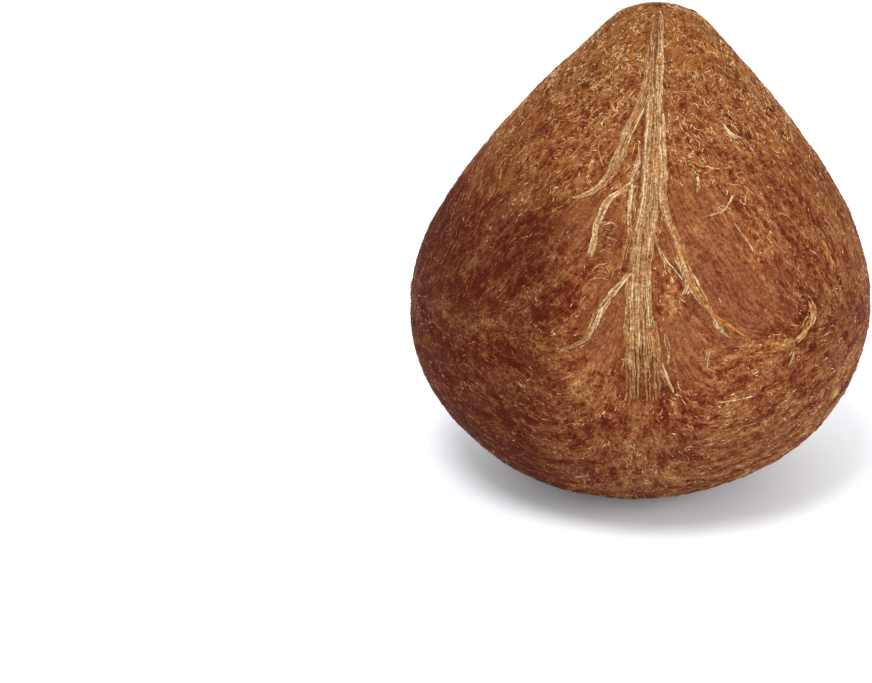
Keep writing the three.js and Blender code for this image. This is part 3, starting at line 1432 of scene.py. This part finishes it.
@dataclass
class Studio:
    """A pale floor, soft white light and the camera, which aims beside and below the target."""

    target: Vector
    floor_half: float = 2.5
    floor_colour: tuple[float, ...] = (0.9, 0.93, 0.97, 1.0)
    floor_glow: tuple[float, ...] = (0.88, 0.95, 1.0, 1.0)
    floor_glow_strength: float = 0.08
    floor_roughness: float = 0.7
    sky: float = 0.98
    lens: float = 85.0
    sensor: float = 36.0
    pitch: float = math.radians(20.0)
    yaw: float = math.radians(5.6)
    beside: float = 0.04294
    above: float = 0.01862
    distance: float = 0.44777
    lamps: tuple[Lamp, ...] = (
        Lamp("key_light", (-0.2, -0.6, 1.0), 0.4, 8.0),
        Lamp("side_light", (1.0, -0.5, 0.5), 0.6, 5.0),
    )

    def build(self) -> None:
        """Makes the floor, the lights and the camera."""
        self.make_floor()
        self.make_sky()
        for lamp in self.lamps:
            lamp.build(self.target)
        self.make_camera()

    def make_floor(self) -> None:
        """A wide plain floor at the level of the flat spot."""
        bpy.ops.object.select_all(action="DESELECT")
        bpy.ops.mesh.primitive_plane_add(size=2 * self.floor_half)
        floor = bpy.context.object
        floor.name = "studio_floor"
        tree = NodeTree("studio_floor")
        tree.feed(tree.shader, {"Base Color": self.floor_colour, "Roughness": self.floor_roughness})
        glow = {"Emission Color": self.floor_glow, "Emission Strength": self.floor_glow_strength}
        tree.feed(tree.shader, glow)
        floor.data.materials.append(tree.material)

    def make_sky(self) -> None:
        """Even white light from all round."""
        world = bpy.data.worlds.new("studio_sky")
        world.use_nodes = True
        sky = world.node_tree.nodes["Background"]
        sky.inputs["Color"].default_value = (1.0, 1.0, 1.0, 1.0)
        sky.inputs["Strength"].default_value = self.sky
        bpy.context.scene.world = world
        bpy.context.scene.view_settings.view_transform = "Standard"

    def make_camera(self) -> None:
        """A camera that sees the coconut up and to the right of the middle of its view."""
        data = bpy.data.cameras.new("camera")
        data.lens = self.lens
        data.sensor_width = self.sensor
        data.clip_start = 0.01
        camera = bpy.data.objects.new("camera", data)
        turn = Euler((math.pi / 2 - self.pitch, 0.0, self.yaw))
        axes = turn.to_matrix()
        offset = axes @ Vector((self.beside, self.above, -self.distance))
        camera.location = self.target - offset
        camera.rotation_euler = turn
        bpy.context.collection.objects.link(camera)
        bpy.context.scene.camera = camera


# Degrees from the ridge, level, half the width in degrees and half the height in millimetres.
BARE_PATCHES = (
    (-16.0, 67.0, 12.0, 6.0),
    (-9.0, 52.0, 8.0, 9.0),
    (17.0, 67.0, 14.0, 8.5),
    (23.0, 55.0, 17.0, 10.0),
    (9.0, 46.0, 7.0, 9.0),
)

# Kind, bearing in degrees, level, half the length, half the width and the height in millimetres.
MARKS = (
    Mark(MarkKind.PIT, 0.0, 105.0, 1.4, 0.25, 0.5),
    Mark(MarkKind.PIT, -25.0, 102.7, 0.6, 0.3, 0.25),
    Mark(MarkKind.PIT, -15.0, 101.0, 0.6, 0.4, 0.25),
    Mark(MarkKind.PIT, -49.0, 99.8, 0.6, 0.4, 0.25),
    Mark(MarkKind.PIT, 74.0, 84.8, 4.0, 0.7, 0.5),
    Mark(MarkKind.KNOB, 60.0, 29.0, 1.6, 1.3, 0.6),
)

# The routes run through bearings in degrees and levels in millimetres. Then come the widths, the
# number of strands, a strand's radius and the tones from one end to the other.
MAIN_ROUTE = (
    (-1, 104.4), (-1, 98), (0, 90), (0, 81), (0, 73), (-1, 64), (-1, 56), (0, 48), (1, 40), (1.5, 33),
)
MAIN_WIDTHS = (1.6, 2.7, 2.5, 2.8, 3.2, 3.8, 4.5, 5.2, 5.8, 6.2)
RIGHT_ROUTE = (
    (3, 90), (3.5, 85), (4.5, 79), (4.5, 73), (6, 69.5),
    (8.5, 66), (10, 62.5), (11.5, 59.5), (14, 56), (16.5, 53),
)
LEFT_ROUTE = (
    (-8, 101), (-6.5, 97), (-5.5, 93), (-7, 89), (-10, 85),
    (-12, 81.5), (-13, 78), (-16, 75), (-20, 73), (-25, 71.5),
)

VEIN_ROUTES = (
    VeinRoute(
        "main",
        MAIN_ROUTE,
        MAIN_WIDTHS, 52, 0.15, (0.3, 0.43, 0.5, 0.56, 0.52, 0.44, 0.22), crown=0.08, stagger=0.3,
    ),
    VeinRoute(
        "main_high",
        MAIN_ROUTE[:6],
        MAIN_WIDTHS[:6], 18, 0.15, (0.5, 0.52, 0.48), crown=0.2, stagger=0.15,
    ),
    VeinRoute(
        "main_foot",
        MAIN_ROUTE[4:9],
        MAIN_WIDTHS[4:9], 34, 0.15, (0.55, 0.5, 0.4), fray=0.5, crown=0.05, stagger=0.25,
    ),
    VeinRoute(
        "left_upper",
        LEFT_ROUTE,
        (0.9, 1.3, 1.7, 2.1, 1.8, 1.1, 0.6), 27, 0.16, (0.45, 0.58, 0.5, 0.45),
    ),
    VeinRoute(
        "left_middle",
        ((-3, 82), (-4, 79), (-6, 75.5), (-12, 73), (-14.5, 69), (-14.5, 65), (-15, 62)),
        (0.9, 1.2, 1.3, 1.1, 0.6), 11, 0.16, (0.45, 0.5, 0.55, 0.75, 0.75),
    ),
    # Its high cream tones partly paint highlights on the strands.
    VeinRoute(
        "left_inner",
        ((-3.4, 83), (-5.4, 78), (-5.9, 74), (-5.5, 70), (-4.7, 66.8), (-5.8, 63.5), (-6.8, 58)),
        (0.3, 0.7, 1.0, 0.9, 0.8, 0.6), 9, 0.14, (0.45, 0.75, 0.8, 0.5, 0.4, 0.35), stagger=0.25,
    ),
    VeinRoute(
        "left_lower",
        ((-2, 63), (-4, 60), (-7, 57), (-9, 55), (-10.5, 52), (-12, 48), (-15.5, 46), (-19, 44.5)),
        (0.8, 1.3, 1.3, 0.9), 12, 0.16, (0.6, 0.72, 0.6, 0.5, 0.4),
    ),
    VeinRoute(
        "right_long",
        RIGHT_ROUTE,
        (0.9, 1.0, 1.2, 1.6, 2.1, 2.1, 1.7), 27, 0.17, (0.46, 0.56, 0.56, 0.46), wander=0.18,
    ),
    VeinRoute(
        "right_cream",
        ((14, 56), (16.5, 53), (19, 49.6), (22.5, 47.6)),
        (1.5, 1.0, 0.6), 9, 0.15, (0.6, 0.62, 0.5),
    ),
    VeinRoute("right_stub", ((11.6, 60.5), (11.0, 58), (9.8, 56.3)), (0.5, 0.8, 1.1), 6, 0.14, (0.8, 0.8)),
    VeinRoute(
        "right_inner",
        ((1, 71), (2.5, 68), (4.5, 63.5), (7.5, 61), (10.5, 58.4)),
        (0.7, 0.9, 0.8, 0.5), 7, 0.13, (0.5, 0.6, 0.55),
    ),
    VeinRoute("foot_right", ((5.4, 50.4), (6.5, 46.6), (6.7, 43.4)), (0.5, 0.4), 4, 0.12, (0.6, 0.4)),
    VeinRoute("low_upright", ((15.2, 48.2), (15.5, 45.9), (15.2, 41.9)), (0.4, 0.3), 3, 0.12, (0.6, 0.4)),
    # The cream tones of these low lines partly paint highlights on the strands.
    VeinRoute("low_line_a", ((18.4, 35.3), (24.4, 35.3), (27.5, 35.6)), (0.5, 0.3), 3, 0.13, (0.85, 0.6)),
    VeinRoute("low_line_b", ((20.9, 28), (26.6, 28.4), (31, 28.9)), (0.5, 0.4), 3, 0.13, (0.85, 0.6)),
    VeinRoute("low_line_c", ((24.6, 40.6), (28.6, 40.6)), (0.4, 0.3), 2, 0.12, (0.7, 0.5)),
    VeinRoute(
        "foot",
        ((2.5, 52), (4, 47), (5, 43.5), (7, 40), (8.5, 37)),
        (0.9, 0.9, 0.6), 7, 0.14, (0.5, 0.5, 0.3),
    ),
    VeinRoute("star_a", ((21, 70), (25, 71.5), (28.5, 73.3)), (0.4, 0.6, 0.3), 4, 0.14, (0.7, 0.85)),
    VeinRoute("star_b", ((26, 71.2), (21, 70.3), (16.5, 69.9)), (0.4, 0.5, 0.2), 4, 0.12, (0.7, 0.6)),
    VeinRoute("star_c", ((20.4, 72), (24.9, 71), (27.1, 69.9)), (0.3, 0.4, 0.3), 2, 0.12, (0.6, 0.5)),
    VeinRoute("thin", ((25.4, 68.6), (28.1, 66), (30.4, 62.9)), (0.3, 0.4), 3, 0.13, (0.7, 0.85)),
    VeinRoute("upright", ((16.4, 77), (16.4, 75.5), (15.7, 74)), (0.3, 0.4), 3, 0.13, (0.8, 0.7)),
    VeinRoute(
        "diagonal",
        ((32, 85.5), (35.5, 83), (41, 81.6), (42.4, 78.4)),
        (0.4, 0.7, 0.5), 6, 0.15, (0.6, 0.8, 0.5),
    ),
    VeinRoute(
        "arm",
        ((45.6, 52.6), (45.8, 50.3), (45.1, 48.6), (41.9, 46.6), (38.7, 44.4)),
        (0.9, 1.8, 2.4, 2.4, 1.8), 13, 0.13, (0.6, 0.45, 0.45, 0.4), wander=0.4, reach=0.35,
    ),
    VeinRoute(
        "arm_down",
        ((38.7, 44.1), (38.8, 42.5), (37.2, 39.4)),
        (1.2, 1.0), 5, 0.14, (0.5, 0.4), wander=0.3, reach=0.5,
    ),
    VeinRoute("tip_curl", ((-41, 97.8), (-33, 96.4), (-26, 96.6)), (0.3, 0.3), 2, 0.12, (0.7, 0.6)),
    VeinRoute(
        "back_left",
        MAIN_ROUTE[:8],
        (0.8, 1.6, 2.4, 2.9, 3.2, 2.6), 30, 0.16, (0.4, 0.5, 0.2), shift=-120.0,
    ),
    VeinRoute("back_left_arm", LEFT_ROUTE[2:], (0.9, 1.2, 0.7), 9, 0.15, (0.4, 0.3), shift=-120.0),
    VeinRoute(
        "back_right",
        MAIN_ROUTE[:8],
        (0.8, 1.8, 2.6, 3.2, 3.4, 2.6), 34, 0.16, (0.4, 0.5, 0.2), shift=120.0,
    ),
    VeinRoute("back_right_arm", RIGHT_ROUTE[2:], (0.9, 1.2, 0.7), 10, 0.15, (0.45, 0.3), shift=120.0),
)
ORANGE_ROUTES = (
    VeinRoute(
        "arm_gold",
        ((45.6, 52), (45.4, 49.5), (43, 47), (39, 45)),
        (1.0, 2.0, 2.2, 1.4), 9, 0.14, (0.75, 0.7, 0.6), wander=0.3, reach=0.4,
    ),
    VeinRoute("right_gold", RIGHT_ROUTE[4:], (0.8, 1.5, 1.9, 1.5), 9, 0.17, (0.5, 0.66, 0.62), crown=0.25),
    VeinRoute(
        "right_orange",
        ((14, 56), (16.5, 53), (20, 51), (26, 47.5)),
        (1.2, 1.1, 0.6), 9, 0.17, (0.6, 0.5, 0.4),
    ),
    VeinRoute(
        "high_arc",
        ((6, 82.5), (11, 81), (15, 79.5), (19.5, 78.3), (24, 77.8), (34, 77.6)),
        (0.6, 1.0, 1.1, 0.6), 6, 0.14, (0.55, 0.5, 0.5), wander=0.3, reach=0.3,
    ),
    VeinRoute(
        "arm_orange",
        ((41, 45.6), (35, 45.2), (32, 44.3), (26.5, 44.7)),
        (1.3, 0.9, 0.5), 8, 0.16, (0.6, 0.5, 0.4),
    ),
    VeinRoute("left_high", ((-30, 88), (-24, 89), (-19, 87)), (0.3, 0.4), 3, 0.13, (0.5, 0.4)),
    VeinRoute("left_mid", ((-62, 74), (-58, 71), (-57, 67)), (0.3, 0.4), 3, 0.13, (0.5, 0.4)),
    VeinRoute("dash_high", ((38.5, 63.8), (36.1, 63.4), (34.1, 62.9)), (0.4, 0.7, 0.4), 5, 0.15, (0.6, 0.5)),
    VeinRoute("dash_low", ((31.6, 62.1), (30.3, 60.9), (29.4, 59.7)), (0.4, 0.7, 0.4), 4, 0.14, (0.6, 0.5)),
    VeinRoute("right_upright", ((57, 62), (57.6, 59.5), (57.5, 56.5)), (0.4, 0.7, 0.4), 5, 0.14, (0.5, 0.4)),
    VeinRoute("star_arm", ((20, 72.2), (23, 70.5), (24, 68)), (0.3, 0.4), 3, 0.12, (0.6, 0.5)),
)
# Small bows across the bare patch to the left of the main vein, one under the other.
RUNGS = tuple(
    VeinRoute(
        f"rung_{i}",
        (
            (-14 + math.sin(2.3 * i), 68 - 1.25 * i),
            (-11.5, 68.8 - 1.2 * i),
            (-8.3 + math.sin(1.7 * i), 68 - 1.15 * i),
        ),
        (0.3, 0.7, 0.3),
        strands=3,
        tones=(0.45 + 0.12 * math.sin(3.1 * i), 0.34),
        wander=0.2,
        reach=0.8,
    )
    for i in range(9)
)

# The palest vein stops are partly the strands' own cream and partly painted highlight.
VEIN_STOPS = ((0.0, "5e3016"), (0.25, "7b4b27"), (0.5, "926a40"), (0.75, "ac895f"), (1.0, "cbb18b"))
ORANGE_STOPS = ((0.0, "6e3813"), (0.4, "985823"), (0.8, "b67c40"), (1.0, "d2ac76"))
FELT_STOPS = ((0.0, "4a190a"), (0.3, "743c21"), (0.6, "97673c"), (1.0, "c4a06c"))
THREAD_STOPS = ((0.0, "5c250f"), (0.35, "874c24"), (0.7, "ac7942"), (1.0, "d2b07c"))
# Straw to near white: partly the fibres' own straw and partly painted highlight.
PAINTED_GLINT_STOPS = ((0.0, "7a4520"), (0.4, "a87a4a"), (0.75, "ccae7e"), (1.0, "ead8b6"))

VEIN_FINISH = FibreFinish("coconut_veins", VEIN_STOPS, orange_share=0.32, flecks=0.34)
ORANGE_FINISH = FibreFinish("coconut_orange", ORANGE_STOPS, orange_share=0.4, flecks=0.3)

FIBRES = (
    (
        FibreSpec(
            FibreKind.CRUMB,
            count=10900,
            length=(0.6, 1.7),
            width=(0.28, 0.58),
            lift=(-0.1, 0.07),
            scatter=0.6,
            curl=0.4,
            tone=(0.45, 0.2),
            seed=24,
        ),
        FibreFinish("coconut_crumb", FELT_STOPS, roughness=0.6),
    ),
    (
        FibreSpec(
            FibreKind.FELT,
            count=8500,
            length=(1.1, 2.8),
            width=(0.2, 0.42),
            lift=(-0.05, 0.08),
            scatter=0.4,
            curl=0.45,
            tone=(0.48, 0.2),
            seed=21,
        ),
        FibreFinish("coconut_felt", FELT_STOPS, roughness=0.55),
    ),
    (
        FibreSpec(
            FibreKind.THREAD,
            count=4200,
            length=(1.8, 5.0),
            width=(0.14, 0.28),
            lift=(0.02, 0.14),
            scatter=0.32,
            curl=0.5,
            tone=(0.58, 0.2),
            seed=22,
        ),
        FibreFinish("coconut_thread", THREAD_STOPS, roughness=0.48),
    ),
    (
        # Thin pale fibres whose light tone partly paints the highlights on the fibres.
        FibreSpec(
            FibreKind.PAINTED_GLINT,
            count=10500,
            length=(0.35, 1.6),
            width=(0.12, 0.25),
            lift=(0.04, 0.18),
            scatter=0.5,
            curl=0.6,
            tone=(0.62, 0.24),
            seed=23,
        ),
        FibreFinish("coconut_painted_glint", PAINTED_GLINT_STOPS, orange_share=0.3, roughness=0.42, specular=0.22),
    ),
)


def main() -> None:
    """Builds the coconut and its studio, and says what each piece holds."""
    logging.basicConfig(level=logging.INFO, format="%(name)s: %(message)s")
    _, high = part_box(NODE)
    form = CoconutForm(height=high[2] / MM, width=2 * (high[1] / MM + CoconutForm.ridge_rise))
    LOG.info("form: %.1f mm high, %.1f mm wide", form.height, form.width)
    grain = Grain(form)
    relief = Relief(form, grain, MARKS)

    skin = Skin(form, grain, relief).build()
    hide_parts(NODE)
    veins = Veins(form, relief, VEIN_ROUTES + RUNGS)
    threads = Veins(form, relief, ORANGE_ROUTES, name="coconut_orange", seed=6)
    pieces = [skin, veins.build(VEIN_FINISH), threads.build(ORANGE_FINISH)]
    felt = Felt(form, grain, relief)
    pieces += [felt.build(spec, finish) for spec, finish in FIBRES]
    for piece in pieces:
        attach(piece, BODY)
        piece.data.calc_loop_triangles()
        LOG.info("%s: %d triangles", piece.name, len(piece.data.loop_triangles))

    Studio(target=Vector(VIEW_CENTRE)).build()


if __name__ == "__main__":
    main()
